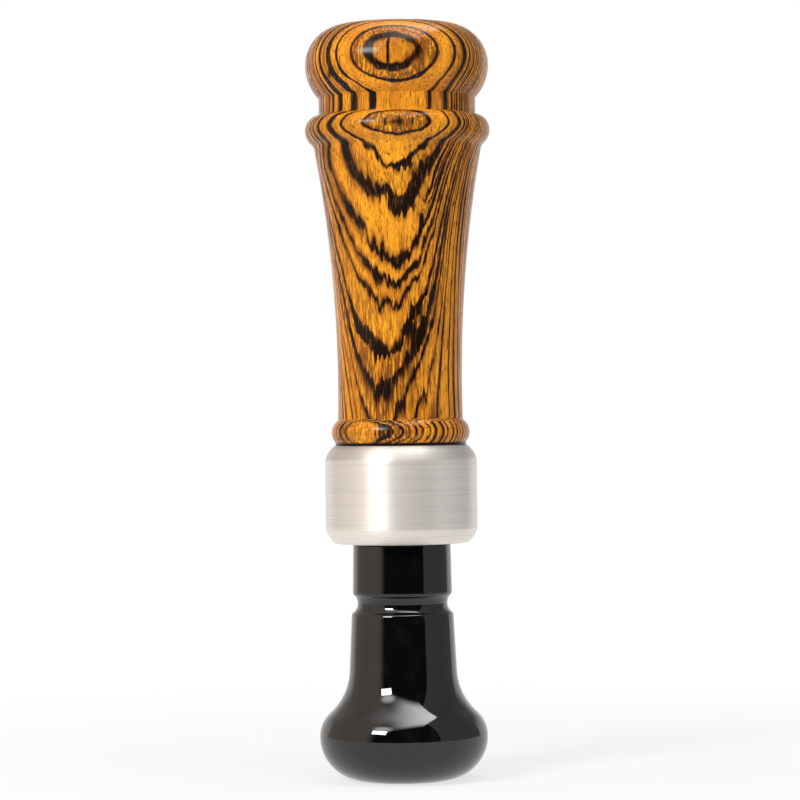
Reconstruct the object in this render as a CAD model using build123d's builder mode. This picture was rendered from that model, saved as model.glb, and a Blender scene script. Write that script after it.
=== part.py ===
from build123d import *
import math
import os

# A turned duck call that stands on the flared end of its stopper. The z axis is the axis of the
# turning, the reeds lie on the -y side of the tone board, and sizes are in millimetres.

# Bore and fits
bore_radius = 7.94
plug_clearance = 0.19
glue_gap = 0.05
ring_clearance = 0.05
root_clearance = 0.3
dimple_clearance = 0.03

# Stopper, from its foot to the shoulder under the barrel
foot_ring = 2.0
foot_tuck = 7.6
flare_rise = 8.25
flare_round = 6.2
flare_width = 5.76
flare_blend = 12.4
stem_taper = 0.55
stem_length = 11.0
groove_width = 3.65
groove_depth = 0.9
neck_step = 0.23
neck_taper = 0.17
neck_length = 9.65
shoulder_width = 1.33
exhaust_length = 26.0
tone_bore_radius = 3.97
socket_depth = 8.0

# Tone board, from the shoulder to its tip
plug_length = 26.0
plug_edge = 0.4
board_length = 40.0
board_step = 0.45
seat_offset = 1.6
slot_depth = 13.0
slot_height = 2.6
slot_draft = 1.0
face_straight = 12.0
face_drop = 1.7
tip_corner = 2.5
channel_margin = 13.0

# Rubber rings on the plug
ring_first = 4.0
ring_spacing = 5.0
ring_groove_depth = 1.45
ring_groove_width = 2.2

# Reeds and cork wedge
reed_width = 12.0
reed_margin = 0.8
reed_corner = 2.0
lower_reed_thickness = 0.36
upper_reed_thickness = 0.25
upper_reed_setback = 1.6
dimple_depth = 0.25
dimple_radius = 1.4
dimple_setback = 14.0
wedge_overhang = 2.0
wedge_trim = 0.25

# Band
band_length = 18.55
band_wall = 2.45
band_shoulder_height = 2.85
band_shoulder_depth = 1.8
band_shoulder_swell = 0.3

# Barrel, from its spigot to the crest of the mouthpiece
spigot_wall = 3.96
quirk_ledge = 0.5
quirk_height = 0.6
bead_width = 4.2
bead_swell = 0.7
waist_wall = 3.84
waist_rise = 6.8
body_length = 45.4
body_flare = 4.2
collar_rise = 2.75
collar_crown = 2.85
collar_swell = 1.57
collar_drop = 2.67
cove_length = 3.3
bulb_rise = 6.25
bulb_swell = 2.52
crown_height = 7.75
crown_width = 8.0
lip_depth = 1.8

# Radii and heights of the stopper
plug_radius = bore_radius - plug_clearance
socket_radius = plug_radius + glue_gap
neck_top_radius = bore_radius + shoulder_width
neck_radius = neck_top_radius + neck_taper
groove_radius = neck_radius - groove_depth
stem_top_radius = neck_radius + neck_step
stem_radius = stem_top_radius + stem_taper
flare_radius = stem_radius + flare_width
foot_radius = flare_radius - foot_tuck
exhaust_radius = foot_radius - foot_ring
stem_z = flare_rise + flare_blend
groove_low_z = stem_z + stem_length
groove_mid_z = groove_low_z + groove_width / 2
groove_high_z = groove_low_z + groove_width
shoulder_z = groove_high_z + neck_length
socket_z = shoulder_z - socket_depth

# The ogee of the flare: a convex arc of flare_round and the hollow arc that is tangent to it and to
# the tapered stem. The radius of the hollow arc follows from the distance between the two centres.
stem_angle = math.atan2(stem_taper, stem_length)
stem_normal = (math.cos(stem_angle), math.sin(stem_angle))
round_centre = (flare_radius - flare_round, flare_rise)
reach_r = stem_radius - round_centre[0]
reach_z = stem_z - round_centre[1]
reach_along_normal = reach_r * stem_normal[0] + reach_z * stem_normal[1]
hollow_radius = (reach_r**2 + reach_z**2 - flare_round**2) / (2 * (flare_round - reach_along_normal))
hollow_centre = (stem_radius + hollow_radius * stem_normal[0], stem_z + hollow_radius * stem_normal[1])
round_share = flare_round / (flare_round + hollow_radius)
ogee_r = round_centre[0] + (hollow_centre[0] - round_centre[0]) * round_share
ogee_z = round_centre[1] + (hollow_centre[1] - round_centre[1]) * round_share

# Radii and heights of the tone board, its rings, reeds and wedge
plug_top_z = shoulder_z + plug_length
tip_z = plug_top_z + board_length
board_radius = plug_radius - board_step
seat_y = -seat_offset
slot_end_z = plug_top_z - slot_depth
face_start_z = plug_top_z + face_straight
channel_ball_z = tip_z - channel_margin - tone_bore_radius
ring_floor_radius = plug_radius - ring_groove_depth
ring_mid_radius = (bore_radius + ring_floor_radius) / 2
ring_section_radius = (bore_radius - ring_floor_radius) / 2 - ring_clearance
ring_heights = {
    "front_o_ring": shoulder_z + ring_first + ring_spacing,
    "rear_o_ring": shoulder_z + ring_first,
}
reed_root_z = slot_end_z + root_clearance
lower_tip_z = tip_z - reed_margin
upper_tip_z = lower_tip_z - upper_reed_setback
wedge_top_z = plug_top_z + wedge_overhang
upper_seat_y = seat_y - lower_reed_thickness
wedge_seat_y = upper_seat_y - upper_reed_thickness
dimple_z = upper_tip_z - dimple_setback
dimple_seat_y = upper_seat_y - dimple_depth - dimple_clearance
upper_tip_y = upper_seat_y + (dimple_seat_y - upper_seat_y) * (upper_tip_z - wedge_top_z) / (dimple_z - wedge_top_z)

# Radii and heights of the band and the barrel
spigot_radius = bore_radius + spigot_wall
band_bore_radius = spigot_radius + glue_gap
band_radius = band_bore_radius + band_wall
band_rim_radius = band_radius - band_shoulder_depth
band_top_z = shoulder_z + band_length
quirk_radius = spigot_radius + quirk_ledge
bead_radius = quirk_radius + bead_swell
bead_low_z = band_top_z + quirk_height
bead_mid_z = bead_low_z + bead_width / 2
bead_top_z = bead_low_z + bead_width
waist_radius = bore_radius + waist_wall
waist_z = bead_top_z + waist_rise
body_top_radius = waist_radius + body_flare
body_sweep_radius = (body_flare**2 + body_length**2) / (2 * body_flare)
bead_top_radius = waist_radius + body_sweep_radius - math.sqrt(body_sweep_radius**2 - waist_rise**2)
collar_low_z = waist_z + body_length
collar_mid_z = collar_low_z + collar_rise
collar_high_z = collar_mid_z + collar_crown
collar_radius = body_top_radius + collar_swell
cove_radius = collar_radius - collar_drop
bulb_low_z = collar_high_z + cove_length
bulb_radius = cove_radius + bulb_swell
bulb_z = bulb_low_z + bulb_rise
crest_radius = bulb_radius - crown_width
crest_z = bulb_z + crown_height
lip_z = crest_z - lip_depth


def roof_y(z):
    """Depth of the slot's sloping roof at a height."""
    return seat_y - slot_height - slot_draft * (z - slot_end_z) / slot_depth


os.makedirs("parts", exist_ok=True)

# Stopper: one turned profile with its flared foot, lanyard groove, socket and tapered exhaust bore
with BuildPart() as stopper:
    with BuildSketch(Plane.XZ):
        with BuildLine():
            Line((exhaust_radius, 0), (foot_radius, 0))
            TangentArc((flare_radius, flare_rise), (foot_radius, 0), tangent=(0, -1))
            TangentArc((flare_radius, flare_rise), (ogee_r, ogee_z), tangent=(0, 1))
            TangentArc((stem_radius, stem_z), (ogee_r, ogee_z), tangent=(stem_normal[1], -stem_normal[0]))
            Line((stem_radius, stem_z), (stem_top_radius, groove_low_z))
            ThreePointArc(
                (stem_top_radius, groove_low_z),
                (groove_radius, groove_mid_z),
                (neck_radius, groove_high_z),
            )
            Polyline(
                (neck_radius, groove_high_z),
                (neck_top_radius, shoulder_z),
                (socket_radius, shoulder_z),
                (socket_radius, socket_z),
                (tone_bore_radius, socket_z),
                (tone_bore_radius, exhaust_length),
                (exhaust_radius, 0),
            )
        make_face()
    revolve(axis=Axis.Z)

stopper.part.label = "stopper"
export_step(stopper.part, "parts/stopper.step")

# Tone board: a round plug, a half-round board with a curved face, the reed slot and the tone channel
with BuildPart() as tone_board:
    with BuildSketch(Plane.XY.offset(socket_z)):
        Circle(plug_radius)
    extrude(amount=plug_top_z - socket_z)
    chamfer(tone_board.edges().filter_by(GeomType.CIRCLE), length=plug_edge)
    with BuildSketch(Plane.XY.offset(plug_top_z)):
        Circle(board_radius)
    extrude(amount=board_length)
    with BuildSketch(Plane.YZ):
        with BuildLine():
            Line((seat_y, slot_end_z), (seat_y, face_start_z))
            TangentArc((seat_y, face_start_z), (seat_y + face_drop, tip_z), tangent=(0, 1))
            Polyline(
                (seat_y + face_drop, tip_z),
                (-plug_radius, tip_z),
                (-plug_radius, plug_top_z),
                (roof_y(plug_top_z), plug_top_z),
                (roof_y(slot_end_z), slot_end_z),
                (seat_y, slot_end_z),
            )
        make_face()
    extrude(amount=plug_radius, both=True, mode=Mode.SUBTRACT)
    with BuildSketch(Plane.XZ):
        with Locations(*[(plug_radius, height) for height in ring_heights.values()]):
            Rectangle(2 * ring_groove_depth, ring_groove_width)
    revolve(axis=Axis.Z, mode=Mode.SUBTRACT)
    with BuildSketch(Plane.XZ):
        with BuildLine():
            Polyline(
                (0, channel_ball_z + tone_bore_radius),
                (0, socket_z),
                (tone_bore_radius, socket_z),
                (tone_bore_radius, channel_ball_z),
            )
            TangentArc(
                (tone_bore_radius, channel_ball_z),
                (0, channel_ball_z + tone_bore_radius),
                tangent=(0, 1),
            )
        make_face()
    revolve(axis=Axis.Z, mode=Mode.SUBTRACT)
    for side in (-1, 1):
        with BuildSketch(Plane.XZ):
            with BuildLine():
                Polyline(
                    (side * board_radius, tip_z),
                    (side * board_radius, tip_z - tip_corner),
                    (side * (board_radius - tip_corner), tip_z),
                    close=True,
                )
            make_face()
        extrude(amount=board_radius, both=True, mode=Mode.SUBTRACT)

tone_board.part.label = "tone_board"
export_step(tone_board.part, "parts/tone_board.step")

# Rubber rings: round-section rings that sit in the plug's grooves and grip the bore
for ring_name, ring_z in ring_heights.items():
    with BuildPart() as o_ring:
        with BuildSketch(Plane.XZ):
            with Locations((ring_mid_radius, ring_z)):
                Circle(ring_section_radius)
        revolve(axis=Axis.Z)
    o_ring.part.label = ring_name
    export_step(o_ring.part, f"parts/{ring_name}.step")

# Lower reed: a flat strip on the seat, with clipped corners at its free end
with BuildPart() as lower_reed:
    with BuildSketch(Plane.XZ.offset(seat_offset)):
        with Locations((0, (reed_root_z + lower_tip_z) / 2)):
            Rectangle(reed_width, lower_tip_z - reed_root_z)
    extrude(amount=lower_reed_thickness)
    chamfer(lower_reed.edges().filter_by(Axis.Y).group_by(Axis.Z)[-1], length=reed_corner)

lower_reed.part.label = "lower_reed"
export_step(lower_reed.part, "parts/lower_reed.step")

# Upper reed: a thinner, shorter strip that leaves the lower one at the wedge and is held off it by a
# pressed dimple, hollow on its outer side
with BuildPart() as upper_reed:
    with BuildSketch(Plane.YZ):
        with BuildLine():
            Polyline(
                (upper_seat_y, reed_root_z),
                (upper_seat_y, wedge_top_z),
                (upper_tip_y, upper_tip_z),
                (upper_tip_y - upper_reed_thickness, upper_tip_z),
                (wedge_seat_y, wedge_top_z),
                (wedge_seat_y, reed_root_z),
                close=True,
            )
        make_face()
    extrude(amount=reed_width / 2, both=True)
    chamfer(upper_reed.edges().filter_by(Axis.Y).group_by(Axis.Z)[-1], length=reed_corner)
    for shift, dimple_mode in ((0, Mode.ADD), (-upper_reed_thickness, Mode.SUBTRACT)):
        dimple_base_y = dimple_seat_y - upper_reed_thickness / 2 + shift
        dimple_point_y = dimple_seat_y + dimple_depth + shift
        with BuildSketch(Plane.YZ):
            with BuildLine():
                TangentArc(
                    (dimple_point_y, dimple_z),
                    (dimple_base_y, dimple_z + dimple_radius),
                    tangent=(0, 1),
                )
                Polyline(
                    (dimple_base_y, dimple_z + dimple_radius),
                    (dimple_base_y, dimple_z),
                    (dimple_point_y, dimple_z),
                )
            make_face()
        revolve(axis=Axis((0, 0, dimple_z), (0, 1, 0)), mode=dimple_mode)

upper_reed.part.label = "upper_reed"
export_step(upper_reed.part, "parts/upper_reed.step")

# Cork wedge: fills the slot above the reeds and is rounded to clear the bore
with BuildPart() as cork_wedge:
    with BuildSketch(Plane.YZ):
        with BuildLine():
            Polyline(
                (wedge_seat_y, reed_root_z),
                (wedge_seat_y, wedge_top_z),
                (roof_y(wedge_top_z), wedge_top_z),
                (roof_y(reed_root_z), reed_root_z),
                close=True,
            )
        make_face()
    extrude(amount=plug_radius, both=True)
    with BuildSketch(Plane.XY.offset(reed_root_z)):
        Circle(plug_radius - wedge_trim)
    extrude(amount=wedge_top_z - reed_root_z, mode=Mode.INTERSECT)

cork_wedge.part.label = "cork_wedge"
export_step(cork_wedge.part, "parts/cork_wedge.step")

# Band: a metal ring on the barrel's spigot, with swelling shoulders at both ends
with BuildPart() as band:
    with BuildSketch(Plane.XZ):
        with BuildLine():
            SagittaArc(
                (band_rim_radius, shoulder_z),
                (band_radius, shoulder_z + band_shoulder_height),
                -band_shoulder_swell,
            )
            Line(
                (band_radius, shoulder_z + band_shoulder_height),
                (band_radius, band_top_z - band_shoulder_height),
            )
            SagittaArc(
                (band_radius, band_top_z - band_shoulder_height),
                (band_rim_radius, band_top_z),
                -band_shoulder_swell,
            )
            Polyline(
                (band_rim_radius, band_top_z),
                (band_bore_radius, band_top_z),
                (band_bore_radius, shoulder_z),
                (band_rim_radius, shoulder_z),
            )
        make_face()
    revolve(axis=Axis.Z)

band.part.label = "band"
export_step(band.part, "parts/band.step")

# Barrel: spigot, quirk and bead over the band, long hollow-sided body, half-round collar, cove and
# the bulb of the mouthpiece with its rounded lip
with BuildPart() as barrel:
    with BuildSketch(Plane.XZ):
        with BuildLine():
            Polyline(
                (bore_radius, lip_z),
                (bore_radius, shoulder_z),
                (spigot_radius, shoulder_z),
                (spigot_radius, band_top_z),
                (quirk_radius, band_top_z),
                (quirk_radius, bead_low_z),
            )
            ThreePointArc(
                (quirk_radius, bead_low_z),
                (bead_radius, bead_mid_z),
                (bead_top_radius, bead_top_z),
            )
            ThreePointArc(
                (bead_top_radius, bead_top_z),
                (waist_radius, waist_z),
                (body_top_radius, collar_low_z),
            )
            TangentArc((collar_radius, collar_mid_z), (body_top_radius, collar_low_z), tangent=(0, -1))
            EllipticalCenterArc((cove_radius, collar_mid_z), collar_drop, collar_crown)
            Line((cove_radius, collar_high_z), (cove_radius, bulb_low_z))
            TangentArc((bulb_radius, bulb_z), (cove_radius, bulb_low_z), tangent=(0, -1))
            EllipticalCenterArc((crest_radius, bulb_z), crown_width, crown_height)
            EllipticalCenterArc((crest_radius, lip_z), crest_radius - bore_radius, lip_depth, start_angle=90)
        make_face()
    revolve(axis=Axis.Z)

barrel.part.label = "barrel"
export_step(barrel.part, "parts/barrel.step")
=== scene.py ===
"""Looks of a turned duck call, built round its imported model.

The barrel, band, stopper, rubber rings and reeds are surfaces worked out with numpy. The tone board and the
cork wedge keep their solids and get a finish. Outlines are in millimetres, meshes in metres.
"""

import logging
import math
from dataclasses import dataclass
from enum import Enum
from functools import reduce

import bpy
import numpy as np
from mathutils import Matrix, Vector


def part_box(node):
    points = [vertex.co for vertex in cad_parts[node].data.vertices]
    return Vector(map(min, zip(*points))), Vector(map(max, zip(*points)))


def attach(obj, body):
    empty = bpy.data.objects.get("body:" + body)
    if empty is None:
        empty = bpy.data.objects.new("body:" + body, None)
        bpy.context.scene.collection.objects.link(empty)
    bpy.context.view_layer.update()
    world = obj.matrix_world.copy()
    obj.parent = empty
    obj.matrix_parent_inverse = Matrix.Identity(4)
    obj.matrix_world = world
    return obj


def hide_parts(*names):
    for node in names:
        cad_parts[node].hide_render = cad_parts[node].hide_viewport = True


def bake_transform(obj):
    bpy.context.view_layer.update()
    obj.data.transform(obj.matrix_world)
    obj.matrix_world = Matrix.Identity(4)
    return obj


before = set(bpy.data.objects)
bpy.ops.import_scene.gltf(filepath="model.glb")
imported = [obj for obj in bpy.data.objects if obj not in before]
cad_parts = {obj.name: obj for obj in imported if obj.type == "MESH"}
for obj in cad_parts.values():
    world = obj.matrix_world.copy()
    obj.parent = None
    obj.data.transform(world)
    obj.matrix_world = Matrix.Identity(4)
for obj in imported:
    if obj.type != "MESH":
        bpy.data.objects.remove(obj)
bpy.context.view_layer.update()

LOG = logging.getLogger("duck_call")
MM = 0.001
SHARP_ANGLE = math.radians(50.0)

Colour = tuple[float, float, float]
# Two sizes, a point of a curve, or the two ends of a smooth step
Point = tuple[float, float]
# The two ends and the top of a smooth step
Step = tuple[float, float, float]


# Shader graphs


@dataclass(frozen=True)
class Noise:
    """A soft noise: waves to a millimetre along x, y and z, octaves, and the share of each finer octave.

    The shift moves the pattern, so that two noises differ.
    """

    waves: tuple[float, float, float]
    octaves: float = 2.0
    finer: float = 0.5
    shift: float = 0.0


class Wire:
    """A socket of a shader graph that takes part in Python arithmetic by adding Math nodes."""

    def __init__(self, graph: "Graph", socket: bpy.types.NodeSocket) -> None:
        """Keeps the graph and the output socket that the wire starts from."""
        self.graph = graph
        self.socket = socket

    def math(self, operation: str, *others: "Wire | float") -> "Wire":
        """Adds one Math node on this wire and its other operands, in order."""
        return self.graph.maths(operation, self, *others)

    def __add__(self, other: "Wire | float") -> "Wire":
        """Sum."""
        return self.math("ADD", other)

    def __sub__(self, other: "Wire | float") -> "Wire":
        """Difference."""
        return self.math("SUBTRACT", other)

    def __rsub__(self, other: float) -> "Wire":
        """Difference from a number."""
        return self.graph.maths("SUBTRACT", other, self)

    def __mul__(self, other: "Wire | float") -> "Wire":
        """Product."""
        return self.math("MULTIPLY", other)

    def __truediv__(self, other: "Wire | float") -> "Wire":
        """Quotient."""
        return self.math("DIVIDE", other)

    def __neg__(self) -> "Wire":
        """The wire's value with its sign turned."""
        return self.math("MULTIPLY", -1.0)

    def __abs__(self) -> "Wire":
        """The wire's value without its sign."""
        return self.math("ABSOLUTE")

    __radd__ = __add__

    def ease(self, low: float, high: float, top: float = 1.0) -> "Wire":
        """Smooth step.

        Args:
            low: Value at which the step is 0.
            high: Value at which the step reaches its top; it may be the smaller one.
            top: How high the step is.

        Returns:
            The eased value, from 0 to the top.
        """
        inputs = {"Value": self, "From Min": low, "From Max": high, "To Max": top}
        return self.graph.wire("ShaderNodeMapRange", "Result", inputs, interpolation_type="SMOOTHSTEP")

    def spread(self, low: float, high: float) -> "Wire":
        """Spreads values from 0 to 1 over a range."""
        return self * (high - low) + low


def highest(wires: list[Wire]) -> Wire:
    """The highest value of some wires."""
    return reduce(lambda first, second: first.math("MAXIMUM", second), wires)


class Graph:
    """A node tree with short ways to add nodes."""

    def __init__(self, tree: bpy.types.NodeTree) -> None:
        """Empties the tree and keeps it."""
        self.tree = tree
        tree.nodes.clear()

    def node(self, kind: str, inputs: dict | None = None, **settings: object) -> bpy.types.Node:
        """Adds any node.

        Args:
            kind: The node's type.
            inputs: Values or wires by the name or number of their socket.
            settings: Properties of the node, set first; stops are those of its ramp.

        Returns:
            The new node.
        """
        made = self.tree.nodes.new(kind)
        stops = settings.pop("stops", None)
        for name, value in settings.items():
            setattr(made, name, value)
        if stops:
            self._set_stops(made.color_ramp, stops)
        for key, value in (inputs or {}).items():
            if isinstance(value, Wire):
                self.tree.links.new(value.socket, made.inputs[key])
            else:
                made.inputs[key].default_value = value
        return made

    @staticmethod
    def _set_stops(ramp: bpy.types.ColorRamp, stops: list[Point]) -> None:
        """Gives a ramp its stops.

        Args:
            ramp: The ramp of a node.
            stops: Places from 0 to 1, rising, and the grey at each.
        """
        for element in list(ramp.elements)[1:]:
            ramp.elements.remove(element)
        ramp.elements[0].position = stops[0][0]
        ramp.elements[0].color = (*(stops[0][1],) * 3, 1.0)
        for place, grey in stops[1:]:
            ramp.elements.new(place).color = (grey, grey, grey, 1.0)

    def wire(self, kind: str, output: str | int, inputs: dict | None = None, **settings: object) -> Wire:
        """Adds any node and gives a wire from one of its outputs."""
        return Wire(self, self.node(kind, inputs, **settings).outputs[output])

    def maths(self, operation: str, *operands: Wire | float) -> Wire:
        """Adds one Math node on its operands, in order."""
        return self.wire("ShaderNodeMath", 0, dict(enumerate(operands)), operation=operation)

    def place(self) -> Wire:
        """Object coordinates, in millimetres."""
        metres = self.wire("ShaderNodeTexCoord", "Object")
        return self.wire("ShaderNodeVectorMath", 0, {0: metres, "Scale": 1 / MM}, operation="SCALE")

    def split(self, vector: Wire) -> tuple[Wire, Wire, Wire]:
        """The three parts of a vector."""
        parts = self.node("ShaderNodeSeparateXYZ", {0: vector})
        return tuple(Wire(self, socket) for socket in parts.outputs)

    def join(self, *parts: Wire) -> Wire:
        """A vector of three parts."""
        return self.wire("ShaderNodeCombineXYZ", 0, dict(enumerate(parts)))

    def ray(self, kind: str) -> Wire:
        """1 for rays of a kind and 0 for all others."""
        return self.wire("ShaderNodeLightPath", kind)

    def noise(self, place: Wire, kind: Noise) -> Wire:
        """Soft noise.

        Args:
            place: Coordinates, in millimetres.
            kind: Which noise.

        Returns:
            The noise, mostly between 0.2 and 0.8.
        """
        inputs = {0: place, 1: kind.waves, 2: (kind.shift,) * 3}
        scaled = self.wire("ShaderNodeVectorMath", 0, inputs, operation="MULTIPLY_ADD")
        inputs = {"Vector": scaled, "Scale": 1.0, "Detail": kind.octaves, "Roughness": kind.finer}
        return self.wire("ShaderNodeTexNoise", "Fac", inputs)

    def swing(self, place: Wire, kind: Noise) -> Wire:
        """Soft noise about 0."""
        return self.noise(place, kind) - 0.5

    def curve(self, along: Wire, points: tuple[Point, ...]) -> Wire:
        """A value that runs straight from point to point.

        Args:
            along: Where on the curve.
            points: Places and values, by rising place; the ends' values hold outside them.

        Returns:
            The value.
        """
        places, values = zip(*points)
        low, high = min(values), max(values)
        span = places[-1] - places[0]
        stops = [((place - places[0]) / span, (value - low) / (high - low)) for place, value in points]
        share = (along - places[0]) / span
        return self.wire("ShaderNodeValToRGB", 0, {0: share}, stops=stops).spread(low, high)

    def mix(self, share: Wire, low: Wire | Colour, high: Wire | Colour) -> Wire:
        """Mixes two colours.

        Args:
            share: 0 for the first colour and 1 for the second.
            low: First colour.
            high: Second colour.

        Returns:
            The mixed colour.
        """
        factor, first, second, result = 0, 6, 7, 2
        solid = [colour if isinstance(colour, Wire) else (*colour, 1.0) for colour in (low, high)]
        inputs = {factor: share, first: solid[0], second: solid[1]}
        return self.wire("ShaderNodeMix", result, inputs, data_type="RGBA")

    def bump(self, height: Wire, depth_mm: float, strength: float) -> Wire:
        """Turns a height from 0 to 1 into a normal, for a relief of so many millimetres."""
        inputs = {"Height": height, "Distance": depth_mm * MM, "Strength": strength}
        return self.wire("ShaderNodeBump", 0, inputs)


def new_material(name: str) -> tuple[bpy.types.Material, Graph]:
    """Makes an empty node material.

    Args:
        name: The material's name.

    Returns:
        The material and its graph.
    """
    material = bpy.data.materials.new(name)
    material.use_nodes = True
    return material, Graph(material.node_tree)


# Finishes


@dataclass(frozen=True)
class Surface:
    """What all finishes share: a material that ends in one Principled shader."""

    def inputs(self, graph: Graph, place: Wire) -> dict:
        """The shader's inputs at a place in millimetres."""
        raise NotImplementedError

    def material(self, name: str) -> bpy.types.Material:
        """Makes the material.

        Args:
            name: The material's name.

        Returns:
            The material.
        """
        material, graph = new_material(name)
        shader = graph.wire("ShaderNodeBsdfPrincipled", 0, self.inputs(graph, graph.place()))
        graph.node("ShaderNodeOutputMaterial", {"Surface": shader})
        return material


@dataclass(frozen=True)
class Grain:
    """A point of the wood: side, depth and height, its growth layer, and what makes the layer ragged."""

    x: Wire
    y: Wire
    z: Wire
    layer: Wire
    teeth: Wire
    fibre: Wire
    ragged: Wire


@dataclass(frozen=True)
class StripedWood(Surface):
    """Lacquered gold wood with dark growth lines.

    The growth layers are sheets that lie nearly square to the view: a point's layer is its depth towards
    -y, plus a little of its height and of its side. Dark lines lie at chosen layers, so a turned bulb
    shows them as ovals, a flaring body as nested Vs and its sides as stripes. The sheets lean, twist and
    bow along the barrel, and on the left they lie further apart. Noise drawn out along the grain makes the
    lines ragged, spots make them thicker or thinner, and a few short streaks stand between them. The gold
    has a tone that changes from layer to layer, flecks and pores, and is clearer high on the body.
    """

    gold: Colour = (1.0, 0.4, 0.02)
    amber: Colour = (0.56, 0.158, 0.012)
    brown: Colour = (0.115, 0.036, 0.009)
    umber: Colour = (0.068, 0.0215, 0.0045)
    dark: Colour = (0.0095, 0.0043, 0.0022)

    # Shape of the growth layers, where pairs are a height and a value
    rise: tuple[Point, ...] = (
        (60.0, -6.85), (68.0, -6.18), (68.6, -5.79), (119.4, -1.5), (121.6, -1.75), (123.4, -1.15),
        (124.8, -1.05), (126.2, -0.65), (129.4, -0.65), (131.2, -1.05), (143.4, 1.1),
    )
    lean: tuple[Point, ...] = (
        (68.0, -0.29), (68.6, 0.2), (77.0, 0.117), (85.0, 0.034), (93.0, -0.032), (101.0, -0.084),
        (109.0, -0.097), (117.0, -0.05), (121.0, 0.0), (125.2, 0.0), (126.4, 0.06), (129.2, 0.06),
        (133.0, -0.05), (143.4, -0.05),
    )
    twist: tuple[Point, ...] = (
        (68.0, 0.0), (68.6, 1.0), (85.0, 0.4), (109.0, -0.68), (116.0, -0.85), (121.5, -0.4), (126.0, -0.2),
        (129.4, -0.2), (133.0, 0.3), (143.4, 0.3),
    )
    bow: tuple[Point, ...] = ((69.0, 0.13), (85.0, -0.42), (105.0, -0.05), (121.0, -0.1), (143.4, 0.0))
    heart: tuple[Point, ...] = (
        (68.0, 0.0), (68.6, -0.87), (85.0, -0.46), (93.0, -0.15), (101.0, 0.12), (109.0, 0.32),
        (117.0, 0.0),
    )
    side_unit: float = 10.0
    heart_unit: float = 4.0
    spread: float = 0.53
    spread_layer: float = 9.8
    spread_side: Point = (0.0, -9.0)
    spread_front: Point = (4.0, -6.0)

    # Dark lines, where pairs are a layer and a half width
    front_lines: tuple[Point, ...] = (
        (16.62, 0.27), (15.27, 0.15), (13.3, 0.17), (11.65, 0.36), (9.58, 0.22), (8.95, 0.17), (8.4, 0.12),
        (7.28, 0.19), (6.76, 0.22), (6.15, 0.1), (5.5, 0.07), (4.95, 0.12), (3.9, 0.11),
    )
    right_lines: tuple[Point, ...] = ((10.1, 0.1), (10.6, 0.18))
    right_side: Point = (3.5, 6.5)
    right_height: Point = (98.0, 104.0)
    deep_from: float = 3.7
    deep_count: int = 24
    deep_gap: Point = (0.75, 0.9)
    deep_width: Point = (0.14, 0.24)
    deep_start: float = 0.3
    lines_to_a_ramp: int = 9
    ramp_margin: float = 3.0
    line_foot: float = 2.0
    faintest: float = 0.55
    bolder: float = 3.0

    # What moves the layers: a slow sway, teeth, fibres, and wide drips high on the body
    sway: Noise = Noise((0.11, 0.11, 0.035), 1.5)
    sway_front: float = 0.3
    sway_back: Step = (-8.0, 4.0, 0.6)
    teeth: Noise = Noise((0.95, 0.95, 0.08), 2.0, 0.5, 7.0)
    teeth_depth: float = 0.8
    teeth_drip: float = 0.8
    fibre: Noise = Noise((2.6, 2.6, 0.16), 2.0, 0.6, 29.0)
    fibre_depth: float = 0.3
    calm_height: Step = (118.0, 128.0, 0.65)
    calm_side: Step = (3.5, 8.5, 0.7)
    drip: Noise = Noise((0.3, 0.3, 0.03), 1.0, 0.5, 109.0)
    drip_depth: float = 1.8
    drip_foot: Point = (97.0, 106.0)
    drip_top: Point = (121.0, 117.5)
    drip_side: Point = (8.0, 4.0)
    drip_aside: float = 2.6

    # What thins the lines out
    thinning: Noise = Noise((0.3, 0.3, 0.06), 2.0, 0.55, 41.0)
    thinning_depth: float = 0.9
    hair: Noise = Noise((1.7, 1.7, 0.09), 2.0, 0.55, 53.0)
    hair_depth: float = 1.1
    thin_top: Step = (119.0, 127.0, 0.1)
    thin_foot: Point = (108.0, 98.0)
    thin_side: Point = (3.5, 8.5)
    thin_flank: float = 0.16

    # Streaks and spots: side, height, half width, half length, and how much thicker a spot makes lines
    streaks: tuple[tuple[float, float, float, float], ...] = (
        (-1.5, 137.2, 0.3, 3.4), (0.5, 123.7, 0.2, 1.0), (-2.1, 123.6, 0.13, 0.7), (2.9, 123.7, 0.12, 0.8),
    )
    streak_sides: Point = (1.4, 0.5)
    streak_ends: Point = (1.2, 0.7)
    streak_front: Point = (-13.0, -14.0)
    spots: tuple[tuple[float, float, float, float, float], ...] = (
        (-5.6, 137.3, 1.6, 2.6, 0.2), (-13.2, 137.0, 2.6, 6.0, 0.28), (0.0, 132.6, 7.0, 2.6, 0.22),
        (-11.0, 131.8, 3.2, 3.4, 0.42), (-5.0, 127.6, 2.0, 3.0, 0.42), (-9.0, 127.6, 2.0, 3.0, 0.42),
        (1.2, 116.0, 2.2, 2.0, 0.42), (8.8, 113.5, 3.2, 7.5, 0.22), (-11.2, 112.0, 2.5, 6.0, -0.25),
        (0.5, 109.4, 5.0, 3.6, 0.3), (-8.0, 103.0, 3.2, 7.0, -0.22), (8.9, 104.0, 1.3, 5.0, 0.4),
        (7.4, 98.5, 1.3, 5.0, 0.4), (6.0, 93.5, 1.3, 4.5, 0.4), (-8.0, 87.0, 2.4, 6.0, 0.4),
        (3.4, 86.5, 4.2, 6.5, 0.42), (1.6, 83.2, 3.4, 4.0, 0.2), (-5.0, 82.2, 3.0, 4.8, 0.42),
        (-2.8, 75.5, 2.0, 3.2, 0.25), (-3.7, 66.2, 3.5, 2.6, 0.42),
    )
    spot_fade: Point = (1.0, 0.2)
    spot_front: Point = (-4.0, -8.0)

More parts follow.
